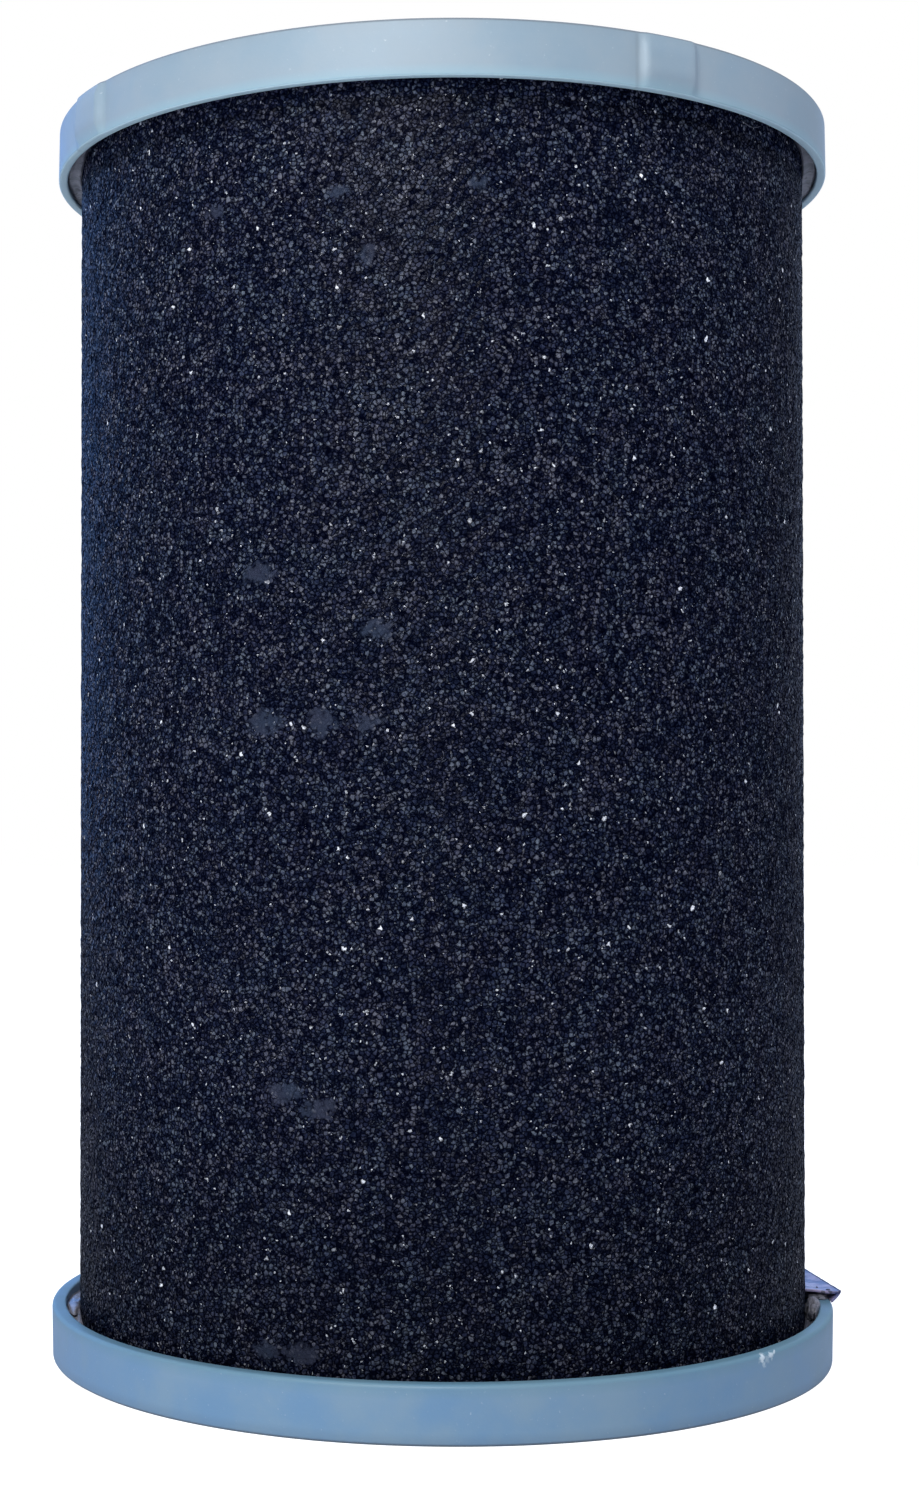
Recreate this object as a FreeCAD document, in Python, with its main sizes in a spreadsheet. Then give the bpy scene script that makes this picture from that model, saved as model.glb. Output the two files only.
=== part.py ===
import FreeCAD, Part
import Sketcher
import math
import os

# Activated carbon pre-filter: a tube of bonded carbon glued into two moulded end caps.
# Millimetres. The origin is the centre of the base, +Z is up and -Y is the front.

doc = FreeCAD.newDocument("CarbonPreFilter")
sheet = doc.addObject("Spreadsheet::Sheet", "Sizes")

# Driving dimensions
drivingSizes = [
    ("blockDiameter", 94.2, "outside of the carbon block"),
    ("blockBore", 38.0, "bore that collects the filtered water"),
    ("blockLength", 152.8, "length of the carbon block"),
    ("glueLayer", 0.6, "hot melt between a cap and the end of the block"),
    ("glueClimb", 3.0, "height of the hot melt in the gap round the block"),
    ("glueSag", 0.8, "dip of the set hot melt between the block and the rim"),
    ("glueInset", 1.2, "clear ring between the hot melt and the collar or boss"),
    ("capFloor", 2.0, "thickness of a cap's floor"),
    ("rimGap", 1.7, "gap between the block and a rim, filled by the hot melt"),
    ("topRimWall", 1.2, "wall of the top cap's rim"),
    ("topRimHeight", 6.5, "whole height of the top cap's edge"),
    ("bottomRimWall", 1.8, "wall of the bottom cap's rim"),
    ("bottomRimHeight", 6.85, "whole height of the bottom cap's edge"),
    ("rimDraft", 1.0, "moulding draft of the rims, degrees"),
    ("edgeBreak", 0.3, "small chamfer that breaks a moulded edge"),
    ("boreClearance", 0.3, "play of the collar and the boss in the block's bore"),
    ("collarWall", 1.7, "wall of the outlet collar"),
    ("collarLength", 8.0, "reach of the outlet collar into the block"),
    ("bossWall", 2.0, "wall of the bottom cap's centring boss"),
    ("bossHeight", 5.0, "height of the centring boss"),
    ("leadIn", 0.5, "chamfer that leads the collar and the boss in"),
    ("lugCount", 4, "lugs round the top cap"),
    ("lugAngle", 29.3, "turn of the first lug from +X, degrees"),
    ("lugWidth", 7.4, "width of a lug's flat"),
    ("lugStand", 0.8, "how far a lug stands proud of the rim"),
    ("lugRoot", 0.7, "how deep a lug is rooted in the rim's wall"),
    ("lugMargin", 0.3, "how far a lug's foot stays from the rim's edges"),
    ("lugBevel", 35.0, "slope of a lug's sides, degrees"),
    ("gasketWidth", 6.0, "width of the outlet gasket's section"),
    ("gasketThickness", 2.6, "thickness of the outlet gasket"),
    ("gasketBreak", 0.3, "small chamfer on the gasket's upper edges"),
    ("gasketPlay", 0.15, "play of the gasket in its seat"),
    ("seatWall", 1.6, "wall round the gasket's seat"),
    ("seatHeight", 1.4, "height of the walls that hold the gasket"),
    ("flashStart", -6.0, "where the squeezed-out hot melt begins, degrees from +X"),
    ("flashEnd", 16.0, "where the squeezed-out hot melt ends, degrees from +X"),
    ("flashThickness", 1.1, "thickness of the flash that lies on the bottom rim"),
    ("flashOverhang", 1.3, "reach of the flash past the bottom rim"),
    ("flashSlant", 7.0, "turn of the flash's straight edge from the rim's side, degrees"),
]
for row, (alias, value, note) in enumerate(drivingSizes, start=1):
    sheet.set(f"A{row}", note)
    sheet.set(f"B{row}", str(value))
    sheet.setAlias(f"B{row}", alias)
doc.recompute()

# Sizes and heights that follow from the driving ones
blockRadius = "Sizes.blockDiameter / 2"
rimInnerRadius = f"({blockRadius} + Sizes.rimGap)"
topRadius = f"({rimInnerRadius} + Sizes.topRimWall)"
bottomRadius = f"({rimInnerRadius} + Sizes.bottomRimWall)"
spigotRadius = "(Sizes.blockBore / 2 - Sizes.boreClearance)"
outletRadius = f"({spigotRadius} - Sizes.collarWall)"
bossHollowRadius = f"({spigotRadius} - Sizes.bossWall)"
glueInnerRadius = f"({spigotRadius} + Sizes.glueInset)"
gasketInnerRadius = f"({spigotRadius} + Sizes.gasketPlay)"
gasketOuterRadius = f"({gasketInnerRadius} + Sizes.gasketWidth)"
seatRadius = f"({gasketOuterRadius} + Sizes.gasketPlay)"
seatOuterRadius = f"({seatRadius} + Sizes.seatWall)"
blockBase = "(Sizes.capFloor + Sizes.glueLayer)"
topGlueFace = f"({blockBase} + Sizes.blockLength + Sizes.glueLayer)"
topFace = f"({topGlueFace} + Sizes.capFloor)"
topTrayDepth = "(Sizes.topRimHeight - Sizes.capFloor)"
bottomTrayDepth = "(Sizes.bottomRimHeight - Sizes.capFloor)"


def size(expression):
    return float(sheet.evalExpression(expression))


def newBody(label):
    body = doc.addObject("PartDesign::Body", label)
    body.Label = label
    return body


def newSketch(body, name, role, lift="0"):
    plane = next(item for item in body.Origin.OriginFeatures if item.Role == role)
    sketch = body.newObject("Sketcher::SketchObject", name)
    sketch.AttachmentSupport = (plane, [""])
    sketch.MapMode = "FlatFace"
    sketch.setExpression("AttachmentOffset.Base.z", lift)
    return sketch


def bind(sketch, constraint, expression):
    number = sketch.addConstraint(constraint)
    sketch.setExpression(f"Constraints[{number}]", expression)


def addCircle(sketch, radius, across="0", up="0"):
    centre = FreeCAD.Vector(size(across), size(up), 0)
    curve = sketch.addGeometry(Part.Circle(centre, FreeCAD.Vector(0, 0, 1), size(radius)))
    bind(sketch, Sketcher.Constraint("Radius", curve, size(radius)), radius)
    bind(sketch, Sketcher.Constraint("DistanceX", -1, 1, curve, 3, size(across)), across)
    bind(sketch, Sketcher.Constraint("DistanceY", -1, 1, curve, 3, size(up)), up)


def addOutline(sketch, corners):
    # A closed outline of straight edges, each corner held by its two distances.
    points = [FreeCAD.Vector(size(across), size(up), 0) for across, up in corners]
    for number, point in enumerate(points):
        sketch.addGeometry(Part.LineSegment(point, points[(number + 1) % len(points)]))
    for number, (across, up) in enumerate(corners):
        before = (number - 1) % len(points)
        sketch.addConstraint(Sketcher.Constraint("Coincident", before, 2, number, 1))
        bind(sketch, Sketcher.Constraint("DistanceX", -1, 1, number, 1, size(across)), across)
        bind(sketch, Sketcher.Constraint("DistanceY", -1, 1, number, 1, size(up)), up)


def pad(body, sketch, name, length, draft="0"):
    feature = body.newObject("PartDesign::Pad", name)
    feature.Profile = sketch
    feature.Length = size(length)
    feature.setExpression("Length", length)
    feature.setExpression("TaperAngle", draft)
    doc.recompute()
    return feature


def pocket(body, sketch, name, depth, upwards):
    # A pocket that removes nothing would pass unseen, so the volume is compared.
    before = body.Shape.Volume
    feature = body.newObject("PartDesign::Pocket", name)
    feature.Profile = sketch
    feature.Reversed = upwards
    feature.Length = size(depth)
    feature.setExpression("Length", depth)
    doc.recompute()
    if feature.Shape.Volume >= before:
        raise RuntimeError(f"{name} removes nothing")
    return feature


def turn(body, sketch, name, angle="360"):
    feature = body.newObject("PartDesign::Revolution", name)
    feature.Profile = sketch
    feature.ReferenceAxis = (sketch, ["V_Axis"])
    feature.Angle = size(angle)
    feature.setExpression("Angle", angle)
    doc.recompute()
    return feature


def circlesAt(shape, radius, height):
    # Names of the circular edges of this radius that lie at this height.
    found = []
    for number, edge in enumerate(shape.Edges, start=1):
        curve = edge.Curve
        if not isinstance(curve, Part.Circle):
            continue
        if math.isclose(curve.Radius, radius, abs_tol=0.01) and math.isclose(
            curve.Center.z, height, abs_tol=0.01
        ):
            found.append(f"Edge{number}")
    return found


def breakEdges(body, feature, name, places, amount):
    # Chamfer of the circular edges at each place, a radius and a height.
    edges = []
    for radius, height in places:
        edges += circlesAt(feature.Shape, radius, height)
    chamfer = body.newObject("PartDesign::Chamfer", name)
    chamfer.Base = (feature, edges)
    chamfer.setExpression("Size", amount)
    doc.recompute()
    return chamfer


def draftedRadius(radius, height):
    # Radius of a drafted wall, this far from the rim's free edge.
    return size(radius) - size(height) * math.tan(math.radians(size("Sizes.rimDraft")))


def makeCarbonBlock():
    body = newBody("carbon_block")
    sketch = newSketch(body, "BlockSection", "XY_Plane")
    addCircle(sketch, blockRadius)
    addCircle(sketch, "Sizes.blockBore / 2")
    pad(body, sketch, "Block", "Sizes.blockLength")
    body.setExpression("Placement.Base.z", blockBase)
    return body


def makeTopCap():
    # Height 0 is the free edge of the rim, and the cap's face is the rim's height above it.
    body = newBody("top_cap")
    disc = newSketch(body, "DiscOutline", "XY_Plane")
    addCircle(disc, topRadius)
    pad(body, disc, "Disc", "Sizes.topRimHeight", draft="-Sizes.rimDraft")
    tray = newSketch(body, "TrayOutline", "XY_Plane")
    addCircle(tray, rimInnerRadius)
    shell = pocket(body, tray, "Tray", topTrayDepth, upwards=True)
    rimPlaces = [
        (draftedRadius(topRadius, "Sizes.topRimHeight"), size("Sizes.topRimHeight")),
        (size(topRadius), 0),
        (size(rimInnerRadius), 0),
    ]
    breakEdges(body, shell, "RimEdges", rimPlaces, "Sizes.edgeBreak")

    # Lugs: low pads with sloping sides, spread evenly round the rim.
    lugOutline = newSketch(body, "LugOutline", "YZ_Plane", lift=f"{topRadius} - Sizes.lugRoot")
    slope = "(Sizes.lugRoot + Sizes.lugStand) * tan(Sizes.lugBevel * 1 deg)"
    reach = f"(Sizes.lugWidth / 2 + {slope})"
    low = "Sizes.lugMargin"
    high = "(Sizes.topRimHeight - Sizes.lugMargin)"
    addOutline(lugOutline, [(f"-{reach}", low), (reach, low), (reach, high), (f"-{reach}", high)])
    lug = pad(
        body, lugOutline, "Lug", "Sizes.lugRoot + Sizes.lugStand", draft="-Sizes.lugBevel"
    )
    lugs = body.newObject("PartDesign::PolarPattern", "Lugs")
    lugs.Originals = [lug]
    lugs.Axis = (disc, ["N_Axis"])
    lugs.Angle = 360
    lugs.setExpression("Occurrences", "Sizes.lugCount")
    body.Tip = lugs
    doc.recompute()

    # Outlet collar through the floor, and the walls that hold the gasket.
    collarFoot = f"({topTrayDepth} - Sizes.collarLength)"
    collarOutline = newSketch(body, "CollarOutline", "XY_Plane", lift=collarFoot)
    addCircle(collarOutline, spigotRadius)
    collarReach = "Sizes.collarLength + Sizes.capFloor + Sizes.seatHeight"
    pad(body, collarOutline, "Collar", collarReach)
    midFloor = "Sizes.topRimHeight - Sizes.capFloor / 2"
    seatOutline = newSketch(body, "SeatOutline", "XY_Plane", lift=midFloor)
    addCircle(seatOutline, seatOuterRadius)
    addCircle(seatOutline, seatRadius)
    seat = pad(body, seatOutline, "Seat", "Sizes.capFloor / 2 + Sizes.seatHeight")
    leadPlaces = [(size(spigotRadius), size(collarFoot))]
    breakEdges(body, seat, "CollarLeadIn", leadPlaces, "Sizes.leadIn")
    outletOutline = newSketch(body, "OutletOutline", "XY_Plane", lift=collarFoot)
    addCircle(outletOutline, outletRadius)
    outlet = pocket(body, outletOutline, "Outlet", collarReach, upwards=True)
    seatTop = size("Sizes.topRimHeight + Sizes.seatHeight")
    edgePlaces = [(size(outletRadius), seatTop), (size(seatOuterRadius), seatTop)]
    breakEdges(body, outlet, "OutletEdges", edgePlaces, "Sizes.edgeBreak")
    body.setExpression("Placement.Base.z", f"{topFace} - Sizes.topRimHeight")
    body.setExpression("Placement.Rotation.Angle", "Sizes.lugAngle * 1 deg")
    return body


def makeBottomCap():
    body = newBody("bottom_cap")
    disc = newSketch(body, "BaseOutline", "XY_Plane", lift="Sizes.bottomRimHeight")
    addCircle(disc, bottomRadius)
    blank = pad(body, disc, "BaseDisc", "Sizes.bottomRimHeight", draft="-Sizes.rimDraft")
    blank.Reversed = True
    doc.recompute()
    tray = newSketch(body, "BaseTrayOutline", "XY_Plane", lift="Sizes.bottomRimHeight")
    addCircle(tray, rimInnerRadius)
    shell = pocket(body, tray, "BaseTray", bottomTrayDepth, upwards=False)
    rimTop = size("Sizes.bottomRimHeight")
    rimPlaces = [
        (draftedRadius(bottomRadius, "Sizes.bottomRimHeight"), 0),
        (size(bottomRadius), rimTop),
        (size(rimInnerRadius), rimTop),
    ]
    breakEdges(body, shell, "BaseRimEdges", rimPlaces, "Sizes.edgeBreak")
    bossOutline = newSketch(body, "BossOutline", "XY_Plane", lift="Sizes.capFloor / 2")
    addCircle(bossOutline, spigotRadius)
    addCircle(bossOutline, bossHollowRadius)
    boss = pad(body, bossOutline, "Boss", "Sizes.capFloor / 2 + Sizes.bossHeight")
    bossTop = size("Sizes.capFloor + Sizes.bossHeight")
    breakEdges(body, boss, "BossLeadIn", [(size(spigotRadius), bossTop)], "Sizes.leadIn")
    return body


def makeGlueRing(label):
    # Height 0 is the cap's inner face: a thin layer under the block, and a collar of hot melt
    # that climbs both walls of the gap between the block and the rim and sags between them.
    body = newBody(label)
    section = newSketch(body, f"{label}Section", "XZ_Plane")
    layer = "Sizes.glueLayer"
    crest = f"({layer} + Sizes.glueClimb)"
    addOutline(section, [
        (glueInnerRadius, "0"),
        (rimInnerRadius, "0"),
        (rimInnerRadius, f"({crest} - Sizes.glueSag / 2)"),
        (f"({blockRadius} + Sizes.rimGap / 2)", f"({crest} - Sizes.glueSag)"),
        (blockRadius, crest),
        (blockRadius, layer),
        (glueInnerRadius, layer),
    ])
    turn(body, section, f"{label}Ring")
    return body


def makeTopGlue():
    body = makeGlueRing("top_glue")
    body.Placement.Rotation = FreeCAD.Rotation(FreeCAD.Vector(1, 0, 0), 180)
    body.setExpression("Placement.Base.z", topGlueFace)
    return body


def makeBottomGlue():
    # The bottom ring also squeezed out over the rim, on the right and towards the back.
    body = makeGlueRing("bottom_glue")
    rimTop = bottomTrayDepth
    flashTop = f"({rimTop} + Sizes.flashThickness)"
    tip = f"({bottomRadius} + Sizes.flashOverhang)"
    span = "(Sizes.flashEnd - Sizes.flashStart)"
    section = newSketch(body, "FlashSection", "XZ_Plane")
    section.AttachmentOffset = FreeCAD.Placement(
        FreeCAD.Vector(0, 0, 0), FreeCAD.Rotation(FreeCAD.Vector(0, 1, 0), size("Sizes.flashStart"))
    )
    section.setExpression("AttachmentOffset.Rotation.Angle", "Sizes.flashStart * 1 deg")
    addOutline(section, [
        (blockRadius, "Sizes.glueLayer + Sizes.glueClimb / 2"),
        (rimInnerRadius, "Sizes.glueLayer + Sizes.glueClimb / 2"),
        (rimInnerRadius, rimTop),
        (tip, rimTop),
        (tip, flashTop),
        (blockRadius, flashTop),
    ])
    turn(body, section, "Flash", angle=span)

    # The flash broke off along a straight line, which starts at the tip and leaves it thin behind.
    cut = newSketch(body, "FlashBreak", "XY_Plane", lift=flashTop)
    cut.AttachmentOffset = FreeCAD.Placement(
        FreeCAD.Vector(0, 0, 0), FreeCAD.Rotation(FreeCAD.Vector(0, 0, 1), size("Sizes.flashSlant"))
    )
    cut.setExpression("AttachmentOffset.Base.z", flashTop)
    cut.setExpression("AttachmentOffset.Rotation.Angle", "Sizes.flashSlant * 1 deg")
    line = f"({tip} * cos((Sizes.flashSlant - Sizes.flashStart) * 1 deg))"
    outside = f"({line} + {tip})"
    addOutline(cut, [(line, f"-{tip}"), (outside, f"-{tip}"), (outside, tip), (line, tip)])
    pocket(body, cut, "FlashEdge", "Sizes.flashThickness", upwards=False)
    body.setExpression("Placement.Base.z", "Sizes.capFloor")
    return body


def makeOutletGasket():
    body = newBody("outlet_gasket")
    section = newSketch(body, "GasketOutline", "XY_Plane")
    addCircle(section, gasketOuterRadius)
    addCircle(section, gasketInnerRadius)
    ring = pad(body, section, "GasketRing", "Sizes.gasketThickness")
    top = size("Sizes.gasketThickness")
    places = [(size(gasketInnerRadius), top), (size(gasketOuterRadius), top)]
    breakEdges(body, ring, "GasketEdges", places, "Sizes.gasketBreak")
    body.setExpression("Placement.Base.z", topFace)
    return body


subParts = [
    makeCarbonBlock(),
    makeTopCap(),
    makeBottomCap(),
    makeTopGlue(),
    makeBottomGlue(),
    makeOutletGasket(),
]
doc.recompute()

for item in doc.Objects:
    if "Invalid" in item.State or "Error" in item.State:
        raise RuntimeError(f"{item.Name} failed: {item.State}")
for body in subParts:
    if body.Shape.isNull() or not body.Shape.isValid() or len(body.Shape.Solids) != 1:
        raise RuntimeError(f"{body.Label} is not one valid solid")

os.makedirs("parts", exist_ok=True)
for body in subParts:
    body.Shape.exportStep(f"parts/{body.Label}.step")
    box = body.Shape.BoundBox
    print(f"{body.Label}: {body.Shape.Volume:.1f} mm3, z {box.ZMin:.2f} to {box.ZMax:.2f}, "
          f"x {box.XMin:.2f} to {box.XMax:.2f}, y {box.YMin:.2f} to {box.YMax:.2f}")
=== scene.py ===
import math
import bmesh
import bpy
import numpy as np
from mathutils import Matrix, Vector, noise


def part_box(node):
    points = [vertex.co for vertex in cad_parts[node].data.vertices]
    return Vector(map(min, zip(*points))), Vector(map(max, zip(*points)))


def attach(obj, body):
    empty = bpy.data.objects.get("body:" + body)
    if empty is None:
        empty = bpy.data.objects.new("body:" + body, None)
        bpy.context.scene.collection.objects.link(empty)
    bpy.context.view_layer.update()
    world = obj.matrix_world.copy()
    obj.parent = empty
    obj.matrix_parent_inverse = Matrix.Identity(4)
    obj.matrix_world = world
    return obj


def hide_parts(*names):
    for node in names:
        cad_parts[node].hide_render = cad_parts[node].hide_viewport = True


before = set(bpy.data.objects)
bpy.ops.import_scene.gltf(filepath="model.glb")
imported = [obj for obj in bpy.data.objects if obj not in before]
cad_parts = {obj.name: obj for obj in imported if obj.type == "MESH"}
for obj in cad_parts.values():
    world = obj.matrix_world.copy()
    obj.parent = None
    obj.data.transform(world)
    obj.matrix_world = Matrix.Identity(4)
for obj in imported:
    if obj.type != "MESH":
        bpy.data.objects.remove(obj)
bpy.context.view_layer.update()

mm = 0.001
blockLow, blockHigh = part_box("carbon_block")
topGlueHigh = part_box("top_glue")[1]
baseGlueLow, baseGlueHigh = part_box("bottom_glue")
gasketLow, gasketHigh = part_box("outlet_gasket")

# Sizes shared by the pieces, in metres
fit = {
    "blockRadius": blockHigh.x,
    "boreRadius": 19.0 * mm,
    "spigotRadius": 18.7 * mm,
    "outletRadius": 17.0 * mm,
    "bossHollow": 16.7 * mm,
    "rimInner": baseGlueHigh.y,
    "capFloor": 2.0 * mm,
    "topRadius": 50.0 * mm,
    "baseRadius": 50.6 * mm,
    "topRimHeight": 6.5 * mm,
    "baseRimHeight": 6.85 * mm,
    "rimDraft": math.radians(1.0),
    "topFace": gasketLow.z,
}

# Camera, matched to the photograph's outlines
photoCamera = {
    "spot": (-11.56 * mm, -307.06 * mm, 69.13 * mm),
    "lookUp": math.radians(0.78),
    "focalPixels": 2329,
    "axisPixel": (352.5, 786.1),
    "photoSize": (919, 1500),
    "sensor": 36,
}


def makeCamera(values):
    width, height = values["photoSize"]
    lens = bpy.data.cameras.new("photoCamera")
    lens.sensor_width = values["sensor"]
    lens.lens = values["focalPixels"] / height * values["sensor"]
    lens.shift_x = (width / 2 - values["axisPixel"][0]) / height
    lens.shift_y = (values["axisPixel"][1] - height / 2) / height
    camera = bpy.data.objects.new("photoCamera", lens)
    camera.location = values["spot"]
    camera.rotation_euler = (math.pi / 2 + values["lookUp"], 0, 0)
    bpy.context.scene.collection.objects.link(camera)
    bpy.context.scene.camera = camera


makeCamera(photoCamera)
print("camera placed")


# Small helpers for meshes


def smoothStep(low, high, value):
    share = np.clip((value - low) / (high - low), 0, 1)
    return share * share * (3 - 2 * share)


def finishPiece(name, form, smooth=True):
    mesh = bpy.data.meshes.new(name)
    form.to_mesh(mesh)
    form.free()
    piece = bpy.data.objects.new(name, mesh)
    bpy.context.scene.collection.objects.link(piece)
    mesh.polygons.foreach_set("use_smooth", [smooth] * len(mesh.polygons))
    return piece


def turnedForm(profile, steps, closed=True):
    # a profile of (radius, height) carried all the way round the filter's axis
    points = list(profile) + ([profile[0]] if closed else [])
    rows = len(points) - 1
    form = bmesh.new()
    bmesh.ops.create_grid(form, x_segments=steps, y_segments=rows, size=0.5)
    for vert in form.verts:
        angle = math.tau * round((vert.co.x + 0.5) * steps) / steps
        radius, height = points[round((vert.co.y + 0.5) * rows)]
        vert.co = (radius * math.cos(angle), radius * math.sin(angle), height)
    bmesh.ops.remove_doubles(form, verts=form.verts[:], dist=0.001 * mm)
    bmesh.ops.recalc_face_normals(form, faces=form.faces[:])
    return form


def between(start, end, parts):
    # evenly spaced places from the start up to the end, which is left out
    (r0, z0), (r1, z1) = start, end
    return [(r0 + (r1 - r0) * k / parts, z0 + (z1 - z0) * k / parts) for k in range(parts)]


def divided(profile, longest, closed=True):
    # the same profile with its long sides divided evenly
    points = []
    corners = list(profile) + ([profile[0]] if closed else [])
    for start, end in zip(corners, corners[1:]):
        length = math.hypot(end[0] - start[0], end[1] - start[1])
        points += between(start, end, max(1, math.ceil(length / longest)))
    if not closed:
        points.append(corners[-1])
    return points


def rounded(profile, radii, segments=4):
    # the same profile with an arc in place of each corner that has a radius
    points = []
    count = len(profile)
    for number, (r, z) in enumerate(profile):
        radius = radii.get(number, 0)
        if radius == 0:
            points.append((r, z))
            continue
        corner = Vector((r, z))
        before = (Vector(profile[(number - 1) % count]) - corner).normalized()
        after = (Vector(profile[(number + 1) % count]) - corner).normalized()
        half = before.angle(after) / 2
        reach = radius / math.tan(half)
        centre = corner + (before + after).normalized() * (radius / math.sin(half))
        start, end = corner + before * reach - centre, corner + after * reach - centre
        for k in range(segments + 1):
            points.append(tuple(centre + start.lerp(end, k / segments).normalized() * radius))
    return points


def vertexArray(piece):
    places = np.empty(len(piece.data.vertices) * 3)
    piece.data.vertices.foreach_get("co", places)
    return places.reshape(-1, 3)


def storePlaces(piece, places):
    piece.data.vertices.foreach_set("co", places.ravel())
    piece.data.update()


def addMask(piece, name, values):
    layer = piece.data.attributes.new(name, "FLOAT", "POINT")
    layer.data.foreach_set("value", np.asarray(values, dtype=np.float32))


def nearLine(distance):
    # 1 on a line, fading to 0 half a millimetre away from it
    return 1 - smoothStep(0.1 * mm, 0.5 * mm, np.abs(distance))


def wave(places, pitch, seed):
    # slow unevenness, about -1 to 1, that changes over roughly one pitch
    shift = Vector((seed * 7.3, seed * 3.1, seed * 5.7))
    return np.array([noise.noise(Vector(place) / pitch + shift) for place in places])


# Shader groups that the materials share


def newGroup(name, inputs, outputs):
    tree = bpy.data.node_groups.new(name, "ShaderNodeTree")
    for label, kind, value in inputs:
        socket = tree.interface.new_socket(label, in_out="INPUT", socket_type=kind)
        if value is not None:
            socket.default_value = value
    for label, kind in outputs:
        tree.interface.new_socket(label, in_out="OUTPUT", socket_type=kind)
    source = tree.nodes.new("NodeGroupInput")
    target = tree.nodes.new("NodeGroupOutput")
    return tree, source, target


def addNode(tree, kind, **settings):
    node = tree.nodes.new(kind)
    for key, value in settings.items():
        setattr(node, key, value)
    return node


def link(tree, start, end):
    tree.links.new(start, end)


def calc(tree, operation, first, second=0.0, third=None):
    node = addNode(tree, "ShaderNodeMath", operation=operation)
    for slot, value in enumerate((first, second, third)):
        if value is None:
            continue
        if isinstance(value, (int, float)):
            node.inputs[slot].default_value = value
        else:
            link(tree, value, node.inputs[slot])
    return node.outputs[0]


def product(tree, first, *others):
    for other in others:
        first = calc(tree, "MULTIPLY", first, other)
    return first


def vectorMath(tree, operation, first, second=None, third=None):
    node = addNode(tree, "ShaderNodeVectorMath", operation=operation)
    for slot, value in enumerate((first, second, third)):
        if isinstance(value, (tuple, Vector)):
            node.inputs[slot].default_value = value
        elif value is not None:
            link(tree, value, node.inputs[slot])
    single = operation in ("DOT_PRODUCT", "DISTANCE", "LENGTH")
    return node.outputs["Value" if single else "Vector"]


def scaledBy(tree, vector, amount):
    node = addNode(tree, "ShaderNodeVectorMath", operation="SCALE")
    link(tree, vector, node.inputs[0])
    link(tree, amount, node.inputs["Scale"])
    return node.outputs[0]


def addNoise(tree, place, scale, detail, roughness=0.5):
    node = addNode(tree, "ShaderNodeTexNoise")
    link(tree, place, node.inputs["Vector"])
    for label, value in (("Scale", scale), ("Detail", detail), ("Roughness", roughness)):
        node.inputs[label].default_value = value
    return node


def readMask(tree, name):
    return addNode(tree, "ShaderNodeAttribute", attribute_name=name).outputs["Fac"]


def ramp(tree, value, low, high, start=0.0, end=1.0):
    node = addNode(tree, "ShaderNodeMapRange", interpolation_type="SMOOTHSTEP")
    link(tree, value, node.inputs["Value"])
    limits = {"From Min": low, "From Max": high, "To Min": start, "To Max": end}
    for label, limit in limits.items():
        node.inputs[label].default_value = limit
    return node.outputs[0]


def mixColour(tree, share, first, second, blend="MIX"):
    node = addNode(tree, "ShaderNodeMix", data_type="RGBA", blend_type=blend)
    for socket, value in ((node.inputs[0], share), (node.inputs[6], first), (node.inputs[7], second)):
        if isinstance(value, (int, float)):
            socket.default_value = value
        elif isinstance(value, tuple):
            socket.default_value = (*value, 1) if len(value) == 3 else value
        else:
            link(tree, value, socket)
    return node.outputs[2]


# The granules' pattern, in shares of a granule
granulePattern = {
    "warpScale": 1.1,
    "warp": 0.9,
    "gapWidth": 0.45,
    "gapDepth": 0.40,
    "raise": 0.55,
}


def makeGranuleGroup(values):
    # crushed granules: each cell is one tilted facet with its own shade, and gaps between
    tree, source, target = newGroup(
        "crushedGranules",
        [("Vector", "NodeSocketVector", None), ("Size", "NodeSocketFloat", 0.6 * mm),
         ("Jagged", "NodeSocketFloat", 1.0)],
        [("Shade", "NodeSocketFloat"), ("Spare", "NodeSocketFloat"), ("Gap", "NodeSocketFloat"),
         ("Height", "NodeSocketFloat")],
    )
    middle = (0.5, 0.5, 0.5)
    inverse = calc(tree, "DIVIDE", 1.0, source.outputs["Size"])
    scaled = scaledBy(tree, source.outputs["Vector"], inverse)
    warp = addNoise(tree, scaled, values["warpScale"], 1)
    centred = vectorMath(tree, "SUBTRACT", warp.outputs["Color"], middle)
    pushed = vectorMath(tree, "MULTIPLY_ADD", centred, (values["warp"],) * 3, scaled)
    cells = addNode(tree, "ShaderNodeTexVoronoi", feature="F1")
    second = addNode(tree, "ShaderNodeTexVoronoi", feature="F2")
    for node in (cells, second):
        node.inputs["Scale"].default_value = 1.0
        link(tree, pushed, node.inputs["Vector"])
    away = vectorMath(tree, "SUBTRACT", pushed, cells.outputs["Position"])
    lean = vectorMath(tree, "SUBTRACT", cells.outputs["Color"], middle)
    tilt = vectorMath(tree, "DOT_PRODUCT", away, lean)
    parts = addNode(tree, "ShaderNodeSeparateColor")
    link(tree, cells.outputs["Color"], parts.inputs[0])
    border = calc(tree, "SUBTRACT", second.outputs["Distance"], cells.outputs["Distance"])
    gap = ramp(tree, border, 0.0, values["gapWidth"], 1.0, 0.0)
    raised = product(tree, parts.outputs["Red"], values["raise"])
    height = calc(tree, "ADD", product(tree, tilt, source.outputs["Jagged"]), raised)
    height = calc(tree, "SUBTRACT", height, product(tree, gap, values["gapDepth"]))
    link(tree, parts.outputs["Green"], target.inputs["Shade"])
    link(tree, parts.outputs["Blue"], target.inputs["Spare"])
    link(tree, gap, target.inputs["Gap"])
    link(tree, height, target.inputs["Height"])
    return tree


# The caps' moulded surface
mouldedPattern = {
    "mottleScale": 110,
    "grainScale": 2600,
    "speckColour": (0.75, 0.78, 0.82),
    "speckCover": 0.25,
    "uneven": 0.12,
    "mottleHeight": 4.0,
}


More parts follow.
